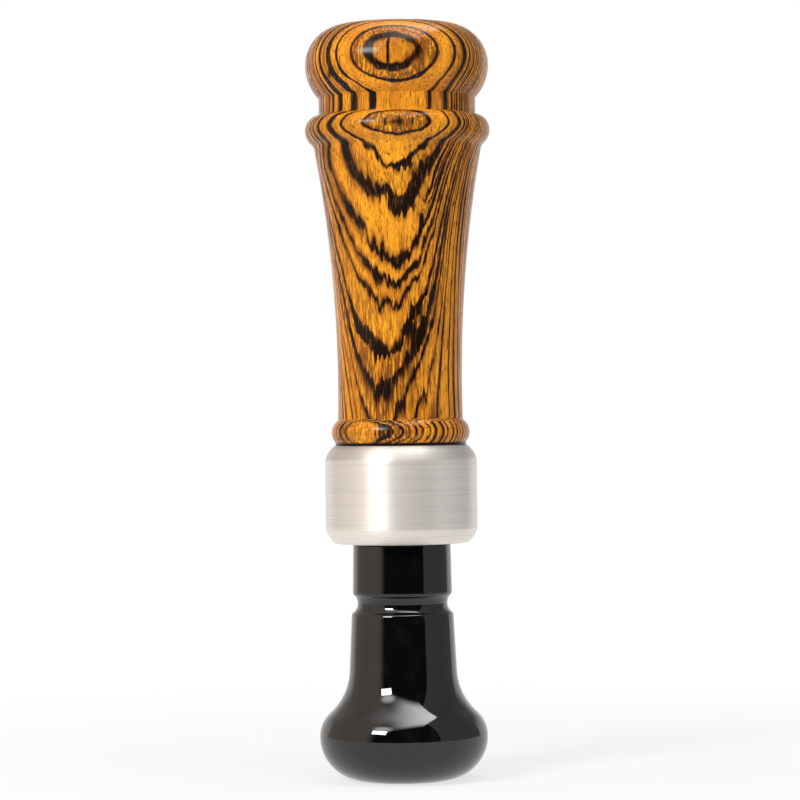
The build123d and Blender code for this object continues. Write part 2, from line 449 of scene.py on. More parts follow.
    # Colour of the lines, which gold flecks break most on mottled layers, and of the quirk's crease under
    # the bead, which is painted dark as painted shade
    quirk_shade_height: Point = (64.25, 63.95)
    line_step: Point = (-0.04, 0.09)
    ink_step: Point = (0.08, 0.3)
    fringe_stain: Step = (-0.6, 0.08, 0.7)
    mottled: tuple[Point, ...] = (
        (4.5, 0.3), (5.9, 0.5), (6.3, 0.9), (7.3, 0.9), (7.6, 0.6), (8.2, 0.6), (8.6, 0.25), (11.9, 0.25),
        (12.2, 0.6), (12.6, 0.6), (12.9, 0.25), (15.2, 0.25), (15.4, 1.0), (16.5, 0.8), (16.8, 0.2),
    )
    fleck: Noise = Noise((2.8, 2.8, 0.22), 2.0, 0.55, 3.0)
    break_step: Point = (0.56, 0.70)
    break_least: float = 0.25
    break_mottled: float = 0.5

    # Colour of the gold
    fleck_step: Point = (0.45, 0.61)
    fleck_mottled: float = 0.05
    fleck_stain: float = 0.85
    pore: Noise = Noise((4.2, 4.2, 0.38), 1.0, 0.5, 11.0)
    pore_step: Point = (0.61, 0.72)
    pore_mottled: float = 0.09
    pore_stain: float = 0.8
    speck: Noise = Noise((3.2, 3.2, 1.3), 3.0, 0.65, 5.0)
    speck_stain: Step = (0.42, 0.70, 0.55)
    warmth: Noise = Noise((0.35, 0.35, 0.06), 3.0, 0.6, 17.0)
    warmth_stain: Step = (0.42, 0.62, 0.45)
    tone: Noise = Noise((1.3, 0.05, 0.02), 3.0, 0.65, 61.0)
    tone_teeth: float = 0.3
    tone_amber: Step = (0.44, 0.62, 0.45)
    tone_brown: Step = (0.56, 0.72, 0.45)
    vein_step: Point = (0.55, 0.61)
    vein_side: Point = (5.0, 10.0)
    vein_height: Point = (106.0, 116.0)
    vein_stain: float = 0.3
    clear_side: Point = (8.0, 3.0)
    clear_foot: Point = (101.0, 105.0)
    clear_top: Point = (123.0, 119.0)
    clear_stain: float = 0.6

    def lines(self) -> list[Point]:
        """All dark lines.

        Behind the chosen lines in front, gaps and widths follow the fractions of multiples of the golden
        ratio and of its square, which never repeat.

        Returns:
            Layer and half width of each line, in millimetres, from the back to the front.
        """
        golden = (math.sqrt(5) - 1) / 2
        steps = np.arange(self.deep_count)
        gaps = self.deep_gap[0] + self.deep_gap[1] * np.mod(steps * golden, 1)
        fractions = np.mod(steps * golden * golden + self.deep_start, 1)
        widths = self.deep_width[0] + self.deep_width[1] * fractions
        layers = self.deep_from - np.cumsum(gaps)
        return sorted([*self.front_lines, *zip(layers.tolist(), widths.tolist())])

    def _layer(self, graph: Graph, spot: tuple[Wire, Wire, Wire]) -> Wire:
        """The growth layer of a point, before noise makes it ragged.

        It is -y + rise + lean x + twist s^3 - bow s^2 + heart h exp((1 - h^2) / 2), with s and h the side x
        in the two units and the five curves read at the height z. On the left, the layers behind one of
        them are spread.

        Args:
            graph: The material's graph.
            spot: The parts of the point, in millimetres.

        Returns:
            The layer, in millimetres.
        """
        x, y, z = spot
        side, near = x / self.side_unit, x / self.heart_unit
        square = side * side
        layer = graph.curve(z, self.rise) - y + x * graph.curve(z, self.lean)
        layer = layer + square * (side * graph.curve(z, self.twist) - graph.curve(z, self.bow))
        layer = layer + near * (0.5 - near * near * 0.5).math("EXPONENT") * graph.curve(z, self.heart)
        wide = x.ease(*self.spread_side) * y.ease(*self.spread_front) * self.spread
        return layer + wide * (self.spread_layer - layer).math("MAXIMUM", 0.0)

    def _grain(self, graph: Graph, place: Wire) -> Grain:
        """Reads a point of the wood and makes its layer ragged, least at the top and on the sides.

        Args:
            graph: The material's graph.
            place: The point, in millimetres.

        Returns:
            The point's grain.
        """
        x, y, z = graph.split(place)
        sway, teeth, fibre = (graph.swing(place, noise) for noise in (self.sway, self.teeth, self.fibre))
        ragged = (1 - z.ease(*self.calm_height)) * (1 - abs(x).ease(*self.calm_side))
        layer = self._layer(graph, (x, y, z)) + sway * (self.sway_front + y.ease(*self.sway_back))
        upper = z.ease(*self.drip_foot) * z.ease(*self.drip_top)
        notches = teeth * (self.teeth_depth + upper * self.teeth_drip)
        layer = layer + ragged * (notches + fibre * self.fibre_depth)
        drip = graph.swing(graph.join(x - self.drip_aside, y, z), self.drip)
        layer = layer + drip * upper * abs(x).ease(*self.drip_side) * self.drip_depth
        return Grain(x, y, z, layer, teeth, fibre, ragged)

    def _nearness(self, graph: Graph, layer: Wire, lines: list[Point]) -> Wire:
        """Nearness of a layer to a dark line, in a peak at its middle that is lower for a thin line.

        Args:
            graph: The material's graph.
            layer: The layer, in millimetres.
            lines: Layer and half width of each line, by rising layer.

        Returns:
            The nearness: at most 1, and 0 beyond a line's foot.
        """
        ramps = []
        for start in range(0, len(lines), self.lines_to_a_ramp):
            group = lines[start:start + self.lines_to_a_ramp]
            low = group[0][0] - self.ramp_margin * group[0][1]
            high = group[-1][0] + self.ramp_margin * group[-1][1]
            stops = []
            for centre, width in group:
                foot = self.line_foot * width
                peak = min(1.0, self.faintest + self.bolder * width)
                stops += [(centre - foot, 0.0), (centre, peak), (centre + foot, 0.0)]
            stops = [((place - low) / (high - low), grey) for place, grey in sorted(stops)]
            share = (layer - low) / (high - low)
            ramps.append(graph.wire("ShaderNodeValToRGB", 0, {0: share}, stops=stops))
        return highest(ramps)

    def _edge(self, graph: Graph, place: Wire, grain: Grain) -> Wire:
        """How far a point lies inside a dark line.

        Args:
            graph: The material's graph.
            place: The point, in millimetres.
            grain: The point's grain.

        Returns:
            The nearness to a line less what thins it there: above 0 inside the line.
        """
        x, z = grain.x, grain.z
        beside = x.ease(*self.right_side) * z.ease(*self.right_height)
        near = self._nearness(graph, grain.layer, list(self.right_lines)) * beside
        near = highest([self._nearness(graph, grain.layer, self.lines()), near])
        hair = grain.ragged * graph.swing(place, self.hair)
        thin = graph.noise(place, self.thinning) * self.thinning_depth + hair * self.hair_depth
        flank = z.ease(*self.thin_foot) * abs(x).ease(*self.thin_side) * self.thin_flank
        return near - (thin + z.ease(*self.thin_top) + flank)

    def _thickness(self, grain: Grain) -> Wire:
        """What spots on the front add to the lines.

        Args:
            grain: The point's grain.

        Returns:
            The sum of the spots, below 0 where they thin a line out.
        """
        total = 0.0
        for side, height, width, length, strength in self.spots:
            across, along = (grain.x - side) / width, (grain.z - height) / length
            total = (across * across + along * along).ease(*self.spot_fade) * strength + total
        return total * grain.y.ease(*self.spot_front)

    def _streak(self, grain: Grain) -> Wire:
        """Short upright streaks on the front, which the teeth make ragged.

        Args:
            grain: The point's grain.

        Returns:
            1 on a streak and 0 off it.
        """
        x = grain.x + grain.teeth
        marks = []
        for side, height, width, length in self.streaks:
            across = abs(x - side).ease(*(share * width for share in self.streak_sides))
            along = abs(grain.z - height).ease(*(share * length for share in self.streak_ends))
            marks.append(across * along)
        return highest(marks) * grain.y.ease(*self.streak_front)

    def _ground(self, graph: Graph, place: Wire, grain: Grain, speck: Wire) -> Wire:
        """The gold between the lines, before flecks and pores.

        Args:
            graph: The material's graph.
            place: The point, in millimetres.
            grain: The point's grain.
            speck: The noise of its specks.

        Returns:
            The colour.
        """
        side, height = abs(grain.x), grain.z
        along = graph.join(grain.layer + grain.teeth * self.tone_teeth, grain.x, height)
        tone = graph.noise(along, self.tone)
        warmth = graph.noise(place, self.warmth)
        vein = tone.ease(*self.vein_step) * side.ease(*self.vein_side) * height.ease(*self.vein_height)
        clear = side.ease(*self.clear_side) * height.ease(*self.clear_foot) * height.ease(*self.clear_top)
        ground = self.gold
        for stain, colour in (
            (warmth.ease(*self.warmth_stain), self.amber),
            (speck.ease(*self.speck_stain), self.amber),
            (tone.ease(*self.tone_amber), self.amber),
            (tone.ease(*self.tone_brown), self.brown),
            (vein * self.vein_stain, self.umber),
            (clear * self.clear_stain, self.gold),
        ):
            ground = graph.mix(stain, ground, colour)
        return ground

    def inputs(self, graph: Graph, place: Wire) -> dict:
        """The shader's inputs: dark lines on mottled gold, under a lacquer that the pores break.

        Args:
            graph: The material's graph.
            place: The point, in millimetres.

        Returns:
            Values and wires by socket.
        """
        grain = self._grain(graph, place)
        fleck, pore, speck = (graph.noise(place, noise) for noise in (self.fleck, self.pore, self.speck))
        mottled = graph.curve(grain.layer, self.mottled)
        pits = (pore + mottled * self.pore_mottled).ease(*self.pore_step)
        edge = self._edge(graph, place, grain)
        fringe = edge.ease(*self.fringe_stain)
        edge = edge + self._thickness(grain)
        broken = fleck.ease(*self.break_step) * (self.break_least + mottled * self.break_mottled)
        line = edge.ease(*self.line_step) * (1 - broken)
        # The streaks, and the painted shade in the quirk's crease under the bead, take the dark ink
        marks = highest([grain.z.ease(*self.quirk_shade_height), self._streak(grain)])

        ground = self._ground(graph, place, grain, speck)
        flecks = (fleck + mottled * self.fleck_mottled).ease(*self.fleck_step) * mottled * self.fleck_stain
        for stain in (flecks, pits * self.pore_stain, fringe):
            ground = graph.mix(stain, ground, self.brown)
        ink = graph.mix(highest([edge.ease(*self.ink_step), marks]), self.umber, self.dark)
        relief = grain.fibre * 0.5 + speck * 0.35 - pits * 0.6 - line * 0.15
        return {
            "Base Color": graph.mix(highest([line, marks]), ground, ink),
            "Roughness": 0.45 + line * 0.06 + pits * 0.1,
            "Specular IOR Level": 0.02,
            "Coat Weight": 0.8 - pits * 0.35,
            "Coat Roughness": 0.2,
            "Coat IOR": 1.28,
            "Normal": graph.bump(relief, depth_mm=0.05, strength=0.5),
        }


@dataclass(frozen=True)
class TurnedAluminium(Surface):
    """Satin aluminium with the fine rings that a lathe leaves; its highlight is drawn out across them. Its
    top shoulder is painted darker as painted shade, and its low shoulder paler as a painted reflection of
    the floor.
    """

    metal: Colour = (0.765, 0.715, 0.665)
    # The darker grey serves the lathe rings and scratches, and also the painted shade on the top shoulder
    worn_and_shade: Colour = (0.50, 0.468, 0.435)
    # A paler warm grey: the painted reflection of the floor on the low shoulder
    polished: Colour = (0.87, 0.80, 0.735)
    anisotropy: float = 0.7
    quarter_turn: float = 0.25
    # Heights where the painted shade of the top shoulder and the painted floor reflection of the low
    # shoulder begin
    top_shoulder: Point = (60.6, 61.3)
    low_shoulder_reflection: Point = (48.3, 47.3)
    fine: Noise = Noise((0.03, 0.03, 11.0), 2.0, 0.6)
    fine_stain: Step = (0.45, 0.65, 0.3)
    rings: Noise = Noise((0.015, 0.015, 3.2), 3.0, 0.7, 5.0)
    ring_stain: Step = (0.4, 0.7, 0.15)
    haze: Noise = Noise((0.25, 0.25, 0.12), 2.0, 0.5, 9.0)
    scratch: Noise = Noise((0.09, 0.09, 9.0), 1.0, 0.5, 21.0)
    scratch_step: Point = (0.68, 0.74)

    def inputs(self, graph: Graph, place: Wire) -> dict:
        """The shader's inputs.

        Args:
            graph: The material's graph.
            place: The point, in millimetres.

        Returns:
            Values and wires by socket.
        """
        fine, rings, haze = (graph.noise(place, noise) for noise in (self.fine, self.rings, self.haze))
        scratch = graph.noise(place, self.scratch).ease(*self.scratch_step)
        height = graph.split(place)[2]
        # Painted shade: from the top shoulder up, the colour is pulled halfway to the darker grey, which
        # dims the overhead reflection; the roughness rises there as well
        shoulder = height.ease(*self.top_shoulder)
        lines = rings.ease(*self.ring_stain) + fine.ease(*self.fine_stain)
        # Painted reflection: below the low shoulder the colour turns to the paler warm grey of the floor's
        # reflection
        metal_and_reflection = graph.mix(height.ease(*self.low_shoulder_reflection), self.metal, self.polished)
        return {
            # Rings and scratches, and the painted shade of the top shoulder, pull the colour towards the
            # darker grey
            "Base Color": graph.mix(lines + scratch * 0.4 + shoulder * 0.5, metal_and_reflection, self.worn_and_shade),
            "Metallic": 0.7,
            "Roughness": 0.34 + haze * 0.1 + rings * 0.08 + shoulder * 0.08,
            "Anisotropic": self.anisotropy,
            "Anisotropic Rotation": self.quarter_turn,
            "Normal": graph.bump(fine * 0.6 + rings + scratch * 0.6, depth_mm=0.014, strength=0.7),
        }


@dataclass(frozen=True)
class BlackAcrylic(Surface):
    """Polished black acrylic with faint polishing rings."""

    body: Colour = (0.0022, 0.0022, 0.0026)
    dust: Colour = (0.012, 0.012, 0.012)
    rings: Noise = Noise((0.04, 0.04, 5.5), 3.0, 0.6)
    smear: Noise = Noise((0.3, 0.3, 0.2), 3.0, 0.6, 4.0)
    smear_stain: Step = (0.5, 0.8, 0.4)
    smear_dulling: Step = (0.4, 0.8, 0.03)
    hair: Noise = Noise((0.2, 0.2, 11.0), 1.0, 0.5, 13.0)
    hair_step: Point = (0.70, 0.76)

    def inputs(self, graph: Graph, place: Wire) -> dict:
        """The shader's inputs.

        Args:
            graph: The material's graph.
            place: The point, in millimetres.

        Returns:
            Values and wires by socket.
        """
        rings, smear = (graph.noise(place, noise) for noise in (self.rings, self.smear))
        hair = graph.noise(place, self.hair).ease(*self.hair_step)
        return {
            "Base Color": graph.mix(smear.ease(*self.smear_stain) + hair * 0.3, self.body, self.dust),
            "Roughness": 0.035 + smear.ease(*self.smear_dulling) + hair * 0.05,
            "IOR": 1.58,
            "Normal": graph.bump(rings + hair * 0.4, depth_mm=0.003, strength=0.18),
        }


@dataclass(frozen=True)
class MouldedPlastic(Surface):
    """Satin black plastic of the tone board, with a fine moulded grain and cutter marks."""

    body: Colour = (0.011, 0.011, 0.012)
    rubbed: Colour = (0.035, 0.035, 0.036)
    grain: Noise = Noise((3.0, 3.0, 3.0))
    marks: Noise = Noise((0.1, 0.1, 4.0), 2.0, 0.6, 3.0)
    rub: Noise = Noise((0.3, 0.3, 0.12), 3.0, 0.6, 8.0)
    rub_step: Point = (0.5, 0.75)

    def inputs(self, graph: Graph, place: Wire) -> dict:
        """The shader's inputs.

        Args:
            graph: The material's graph.
            place: The point, in millimetres.

        Returns:
            Values and wires by socket.
        """
        grain, marks = (graph.noise(place, noise) for noise in (self.grain, self.marks))
        rub = graph.noise(place, self.rub).ease(*self.rub_step)
        return {
            "Base Color": graph.mix(rub * 0.6, self.body, self.rubbed),
            "Roughness": 0.32 + grain * 0.12 + rub * 0.08,
            "Normal": graph.bump(grain * 0.5 + marks, depth_mm=0.012, strength=0.4),
        }


@dataclass(frozen=True)
class ReedFilm(Surface):
    """Frosted polyester film with long drawn streaks."""

    film: Colour = (0.66, 0.69, 0.68)
    streak: Colour = (0.52, 0.56, 0.56)
    drawn: Noise = Noise((2.2, 0.5, 0.05), 3.0, 0.6)
    drawn_step: Point = (0.35, 0.7)
    frost: Noise = Noise((6.0, 6.0, 6.0), 1.0, 0.5, 6.0)

    def inputs(self, graph: Graph, place: Wire) -> dict:
        """The shader's inputs.

        Args:
            graph: The material's graph.
            place: The point, in millimetres.

        Returns:
            Values and wires by socket.
        """
        drawn, frost = (graph.noise(place, noise) for noise in (self.drawn, self.frost))
        return {
            "Base Color": graph.mix(drawn.ease(*self.drawn_step), self.film, self.streak),
            "Roughness": 0.24 + frost * 0.16,
            "Coat Weight": 0.3,
            "Normal": graph.bump(drawn * 0.5 + frost, depth_mm=0.006, strength=0.3),
        }


@dataclass(frozen=True)
class CutCork(Surface):
    """Cut cork: pale cells, brown clusters and dark pits."""

    pale: Colour = (0.55, 0.31, 0.13)
    tan: Colour = (0.36, 0.17, 0.06)
    pit: Colour = (0.06, 0.025, 0.01)
    cluster: Noise = Noise((0.8, 0.8, 0.8), 3.0, 0.6)
    cluster_step: Point = (0.4, 0.65)
    cells_to_a_millimetre: float = 1.6
    pits: Noise = Noise((1.1, 1.1, 0.5), 2.0, 0.6, 12.0)
    pit_step: Point = (0.60, 0.68)

    def inputs(self, graph: Graph, place: Wire) -> dict:
        """The shader's inputs.

        Args:
            graph: The material's graph.
            place: The point, in millimetres.

        Returns:
            Values and wires by socket.
        """
        cluster = graph.noise(place, self.cluster)
        cell_inputs = {"Vector": place, "Scale": self.cells_to_a_millimetre}
        cell = graph.wire("ShaderNodeTexVoronoi", "Distance", cell_inputs)
        pits = graph.noise(place, self.pits).ease(*self.pit_step)
        colour = graph.mix(cluster.ease(*self.cluster_step), self.pale, self.tan)
        return {
            "Base Color": graph.mix(pits * 0.85, colour, self.pit),
            "Roughness": 0.8 + cluster * 0.1,
            "Normal": graph.bump(cell * 0.5 - pits, depth_mm=0.15, strength=0.7),
        }


@dataclass(frozen=True)
class BlackRubber(Surface):
    """Black rubber with a dusty bloom."""

    rubber: Colour = (0.012, 0.012, 0.012)
    bloom: Colour = (0.04, 0.04, 0.04)
    dust: Noise = Noise((1.4, 1.4, 1.4), 3.0, 0.6)
    dust_step: Point = (0.45, 0.75)
    grain: Noise = Noise((7.0, 7.0, 7.0), 1.0, 0.5, 2.0)

    def inputs(self, graph: Graph, place: Wire) -> dict:
        """The shader's inputs.

        Args:
            graph: The material's graph.
            place: The point, in millimetres.

        Returns:
            Values and wires by socket.
        """
        dust, grain = (graph.noise(place, noise) for noise in (self.dust, self.grain))
        return {
            "Base Color": graph.mix(dust.ease(*self.dust_step), self.rubber, self.bloom),
            "Roughness": 0.45 + dust * 0.2,
            "Normal": graph.bump(grain, depth_mm=0.01, strength=0.4),
        }


class Finish(Enum):
    """The finishes, each under the record's name of its slot."""

    WOOD = "striped_wood"
    ALUMINIUM = "turned_aluminium"
    ACRYLIC = "black_acrylic"
    PLASTIC = "moulded_plastic"
    FILM = "reed_film"
    CORK = "cork"
    RUBBER = "black_rubber"


def make_finishes() -> dict[Finish, bpy.types.Material]:
    """Makes every material once.

    Returns:
        The materials by finish.
    """
    surfaces = {
        Finish.WOOD: StripedWood(), Finish.ALUMINIUM: TurnedAluminium(), Finish.ACRYLIC: BlackAcrylic(),
        Finish.PLASTIC: MouldedPlastic(), Finish.FILM: ReedFilm(), Finish.CORK: CutCork(),
        Finish.RUBBER: BlackRubber(),
    }
    return {finish: surface.material(finish.value) for finish, surface in surfaces.items()}


# Outlines and meshes


class Quarter(Enum):
    """The two ways round a quarter of an ellipse: its first direction."""

    UPRIGHT = "upright"
    LEVEL = "level"


class Outline:
    """A turned outline: radius and height, in millimetres, along a path of straight and round stretches."""

    STEP = 0.35
    STRAIGHT_STEP = 1.4
    QUARTER_LENGTH = 1.3
    CORNER_POINTS = 9

    def __init__(self, radius: float, height: float) -> None:
        """Starts the path at a point."""
        self.points = np.array([[radius, height]])

    def _share(self, length: float, step: float = STEP) -> np.ndarray:
        """Even shares from 0 to 1, as many as a length needs."""
        return np.linspace(0.0, 1.0, max(int(math.ceil(length / step)), 2) + 1)

    def _add(self, stretch: np.ndarray) -> "Outline":
        """Adds a stretch that starts where the path ends."""
        self.points = np.concatenate((self.points, stretch[1:]))
        return self

    def line(self, radius: float, height: float) -> "Outline":
        """Adds a straight stretch.

        Args:
            radius: Radius at its end.
            height: Height at its end.

        Returns:
            The outline itself.
        """
        chord = np.array((radius, height)) - self.points[-1]
        share = self._share(np.hypot(*chord), self.STRAIGHT_STEP)
        return self._add(self.points[-1] + share[:, None] * chord)

    def _arc(self, end: Point, turn: float) -> "Outline":
        """Adds a circular arc.

        On a chord of length 1 along u, with t the angle from the chord to the first direction and s running
        from -t to t, the arc is u = (sin s + sin t) / (2 sin t), and v = (cos s - cos t) / (2 sin t) to the
        left of it.

        Args:
            end: Where the arc ends.
            turn: The angle t, in radians, counted to the left.

        Returns:
            The outline itself.
        """
        start = self.points[-1]
        chord = np.array(end) - start
        left = np.array((-chord[1], chord[0]))
        span = turn * (2 * self._share(np.hypot(*chord) * abs(turn / math.sin(turn))) - 1)
        along = (np.sin(span) + math.sin(turn)) / (2 * math.sin(turn))
        aside = (np.cos(span) - math.cos(turn)) / (2 * math.sin(turn))
        return self._add(start + along[:, None] * chord + aside[:, None] * left)

    def arc(self, radius: float, height: float, leaving: Point | None = None,
            arriving: Point | None = None) -> "Outline":
        """Adds a circular arc to a point that leaves or arrives along a direction.

        Args:
            radius: Radius at the arc's end.
            height: Height at the arc's end.
            leaving: First direction, or None where the last one is given.
            arriving: Last direction.

        Returns:
            The outline itself.
        """
        chord = np.array((radius, height)) - self.points[-1]
        toward = math.atan2(chord[1], chord[0])
        if leaving:
            turn = math.atan2(leaving[1], leaving[0]) - toward
        else:
            turn = toward - math.atan2(arriving[1], arriving[0])
        return self._arc((radius, height), math.remainder(turn, math.tau))

    def bow(self, radius: float, height: float, swell: float) -> "Outline":
        """Adds a circular arc that swells so far to the right of its chord."""
        chord = np.array((radius, height)) - self.points[-1]
        return self._arc((radius, height), -2 * math.atan(2 * swell / np.hypot(*chord)))

    def through(self, middle: Point, end: Point) -> "Outline":
        """Adds the circular arc through a middle point.

        The arc's turn is what the angle at that point leaves of a half turn.

        Args:
            middle: A point on the arc.
            end: Where the arc ends.

        Returns:
            The outline itself.
        """
        back = self.points[-1] - np.array(middle)
        on = np.array(end) - np.array(middle)
        angle = math.atan2(back[0] * on[1] - back[1] * on[0], float(back @ on))
        return self._arc(end, math.copysign(math.pi - abs(angle), angle))

    def ellipse(self, radius: float, height: float, first: Quarter) -> "Outline":
        """Adds a quarter of an ellipse to a point.

        Args:
            radius: Radius at its end.
            height: Height at its end.
            first: Whether it starts upright and ends level, or the other way round.

        Returns:
            The outline itself.
        """
        start = self.points[-1]
        chord = np.array((radius, height)) - start
        angle = self._share(self.QUARTER_LENGTH * np.hypot(*chord)) * math.pi / 2
        rising, easing = np.sin(angle), 1 - np.cos(angle)
        shares = (easing, rising) if first is Quarter.UPRIGHT else (rising, easing)
        return self._add(start + np.stack(shares, -1) * chord)

    def softened(self, cut: float, corner: float = 0.35) -> np.ndarray:
        """Closes the path and rounds its corners.

        Each corner becomes a parabola that starts and ends a short cut before and after it: its points are
        (1-t)^2 a + 2 t (1-t) p + t^2 b, with p the corner and a and b the cuts' ends.

        Args:
            cut: Length that is cut from each side, in millimetres.
            corner: Least turn of a corner, in radians.

        Returns:
            The points of the closed outline.
        """
        points = self.points[:-1] if np.allclose(self.points[0], self.points[-1]) else self.points
        ahead = np.roll(points, -1, axis=0) - points
        length = np.hypot(*ahead.T)
        whole = length.sum()
        ahead /= length[:, None]
        run = np.cumsum(length) - length
        sharp = np.arccos(np.clip((ahead * np.roll(ahead, 1, axis=0)).sum(1), -1, 1)) > corner
        corners = run[sharp]
        gap = np.abs(run[:, None] - corners)
        kept = np.minimum(gap, whole - gap).min(1) > cut

        share = np.linspace(0.0, 1.0, self.CORNER_POINTS)[None, :, None]
        before, after = (
            np.stack([np.interp(corners + side, run, part, period=whole) for part in points.T], -1)[:, None]
            for side in (-cut, cut)
        )
        peak = points[sharp][:, None]
        rounded = (1 - share) ** 2 * before + 2 * share * (1 - share) * peak + share ** 2 * after
        rounded_run = np.mod(corners[:, None] + (2 * share[..., 0] - 1) * cut, whole)
        order = np.argsort(np.concatenate((run[kept], rounded_run.ravel())))
        return np.concatenate((points[kept], rounded.reshape(-1, 2)))[order]


def grid_faces(rows: int, columns: int, closed_rows: bool) -> np.ndarray:
    """Quads of a grid that closes on itself across its columns.

    Args:
        rows: Points along the first parameter.
        columns: Points along the second parameter.
        closed_rows: Whether the last row joins the first one.

    Returns:
        Four corner numbers for each quad, facing out where rows run up an outer wall.
    """
    row = np.arange(rows if closed_rows else rows - 1)[:, None]
    column = np.arange(columns)[None, :]
    next_row = (row + 1) % rows
    next_column = (column + 1) % columns
    corners = (row * columns + column, row * columns + next_column,
               next_row * columns + next_column, next_row * columns + column)
    return np.stack(np.broadcast_arrays(*corners), -1).reshape(-1, 4)


def turn_outline(outline: np.ndarray, segments: int) -> tuple[np.ndarray, np.ndarray]:
    """Turns a closed outline about the z axis: (r, h) at angle a becomes (r cos a, r sin a, h).

    Args:
        outline: Radii and heights, in millimetres, up the outer wall and down the inner one.
        segments: Steps of the turn.

    Returns:
        Vertices, in metres, and quads.
    """
    angle = np.linspace(0.0, math.tau, segments, endpoint=False)[None, :]
    radius, height = outline[:, :1] * MM, outline[:, 1:] * MM
    places = np.broadcast_arrays(radius * np.cos(angle), radius * np.sin(angle), height)
    return np.stack(places, -1).reshape(-1, 3), grid_faces(len(outline), segments, True)


def make_piece(name: str, vertices: np.ndarray, faces: list | np.ndarray,
               material: bpy.types.Material) -> bpy.types.Object:
    """Makes a mesh object at the origin, smooth but for its sharp edges.

    Args:
        name: The piece's name.
        vertices: Places, in metres.
        faces: Corner numbers of each face.
        material: Its finish.

    Returns:
        The new object.
    """
    mesh = bpy.data.meshes.new(name)
    mesh.from_pydata(vertices, [], faces)
    mesh.shade_smooth()
    mesh.set_sharp_from_angle(angle=SHARP_ANGLE)
    mesh.materials.append(material)
    piece = bpy.data.objects.new(name, mesh)
    bpy.context.scene.collection.objects.link(piece)
    LOG.info("%s: %d vertices, %d faces", name, len(mesh.vertices), len(mesh.polygons))
    return piece


def dress_node(node: str, finish: Finish, finishes: dict[Finish, bpy.types.Material]) -> None:
    """Gives a carried-over node its finish.

    Args:
        node: The node's name.
        finish: The finish that it gets.
        finishes: All materials.
    """
    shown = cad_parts[node]
    for slot in shown.material_slots:
        slot.material = finishes[finish]
    LOG.info("%s: finish %s", node, finish.value)


def node_span(node: str) -> Point:
    """Lowest and highest height of a node, in millimetres."""
    low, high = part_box(node)
    return low.z / MM, high.z / MM


def node_radius(node: str) -> float:
    """Largest radius of a turned node, in millimetres."""
    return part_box(node)[1].x / MM


# Sub-assemblies


@dataclass(frozen=True)
class Turning:
    """What all turned pieces share."""

    segments: int = 176
    edge: float = 0.2

    def outline(self) -> np.ndarray:
        """The closed outline of the piece."""
        raise NotImplementedError

    def build(self, node: str, name: str, body: str, finish: Finish,
              finishes: dict[Finish, bpy.types.Material]) -> None:
        """Turns the outline, dresses it and puts it in its node's place.

        Args:
            node: The node that the piece stands for.
            name: The piece's name.
            body: The body that it rides on.
            finish: Its finish.
            finishes: All materials.
        """
        piece = make_piece(name, *turn_outline(self.outline(), self.segments), finishes[finish])
        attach(piece, body)
        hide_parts(node)


@dataclass(frozen=True)
class Barrel(Turning):
    """The wood barrel: spigot, quirk, bead, hollow-sided body, collar, cove and bulb.

    Each pair of sizes is a radius and its height above the one before, but for the collar's foot, where
    it is how far the fillet reaches out and down.
    """

    bore: float = 7.94
    spigot: float = 11.9
    band_length: float = 18.55
    quirk: Point = (12.4, 0.6)
    bead: Point = (13.1, 4.2)
    waist: Point = (11.78, 6.8)
    body: Point = (15.98, 45.4)
    collar: Point = (17.55, 2.75)
    collar_foot: Point = (0.55, 0.75)
    cove: Point = (14.88, 2.85)
    cove_length: float = 3.3
    bulb: Point = (17.4, 6.25)
    crest: Point = (9.4, 7.75)
    lip_depth: float = 1.8

    def outline(self) -> np.ndarray:
        """Outline of the barrel.

        The body's hollow side is an arc that is upright at the waist: with f the flare and h the height
        from there to the body's top, its radius is (f^2 + h^2) / (2 f).

        Returns:
            The points of the closed outline.
        """
        base = node_span("barrel")[0]
        band_top = base + self.band_length
        bead_low = band_top + self.quirk[1]
        bead_top = bead_low + self.bead[1]
        waist = bead_top + self.waist[1]
        body_top = waist + self.body[1]
        collar = body_top + self.collar[1]
        cove_low = collar + self.cove[1]
        cove_high = cove_low + self.cove_length
        bulb = cove_high + self.bulb[1]
        crest = bulb + self.crest[1]
        flare = self.body[0] - self.waist[0]
        sweep = (flare ** 2 + self.body[1] ** 2) / (2 * flare)
        foot_height = body_top - self.collar_foot[1]
        foot_radius = self.waist[0] + sweep - math.sqrt(sweep ** 2 - (foot_height - waist) ** 2)
        bead_top_radius = self.waist[0] + sweep - math.sqrt(sweep ** 2 - self.waist[1] ** 2)
        path = Outline(self.bore, base).line(self.spigot, base).line(self.spigot, band_top)
        path.line(self.quirk[0], band_top).line(self.quirk[0], bead_low)
        path.through((self.bead[0], bead_low + self.bead[1] / 2), (bead_top_radius, bead_top))
        path.through((self.waist[0], waist), (foot_radius, foot_height))
        path.arc(self.body[0] + self.collar_foot[0], body_top + self.collar_foot[1] / 2,
                 leaving=(foot_height - waist, sweep))
        path.arc(self.collar[0], collar, arriving=(0, 1))
        path.ellipse(self.cove[0], cove_low, Quarter.UPRIGHT).line(self.cove[0], cove_high)
        path.arc(self.bulb[0], bulb, arriving=(0, 1))
        path.ellipse(self.crest[0], crest, Quarter.UPRIGHT)
        path.ellipse(self.bore, crest - self.lip_depth, Quarter.LEVEL).line(self.bore, base)
        return path.softened(self.edge)


@dataclass(frozen=True)
class Band(Turning):
    """The aluminium band with a swelling shoulder at each end."""

    bore: float = 11.95
    rim: float = 12.6
    shoulder: float = 2.85
    swell: float = 0.3
    least_corner: float = 0.2

    def outline(self) -> np.ndarray:
        """Outline of the band.

        Returns:
            The points of the closed outline.
        """
        low, high = node_span("band")
        radius = node_radius("band")
        path = Outline(self.bore, low).line(self.rim, low)
        path.bow(radius, low + self.shoulder, self.swell).line(radius, high - self.shoulder)
        path.bow(self.rim, high, self.swell).line(self.bore, high).line(self.bore, low)
        return path.softened(self.edge, self.least_corner)


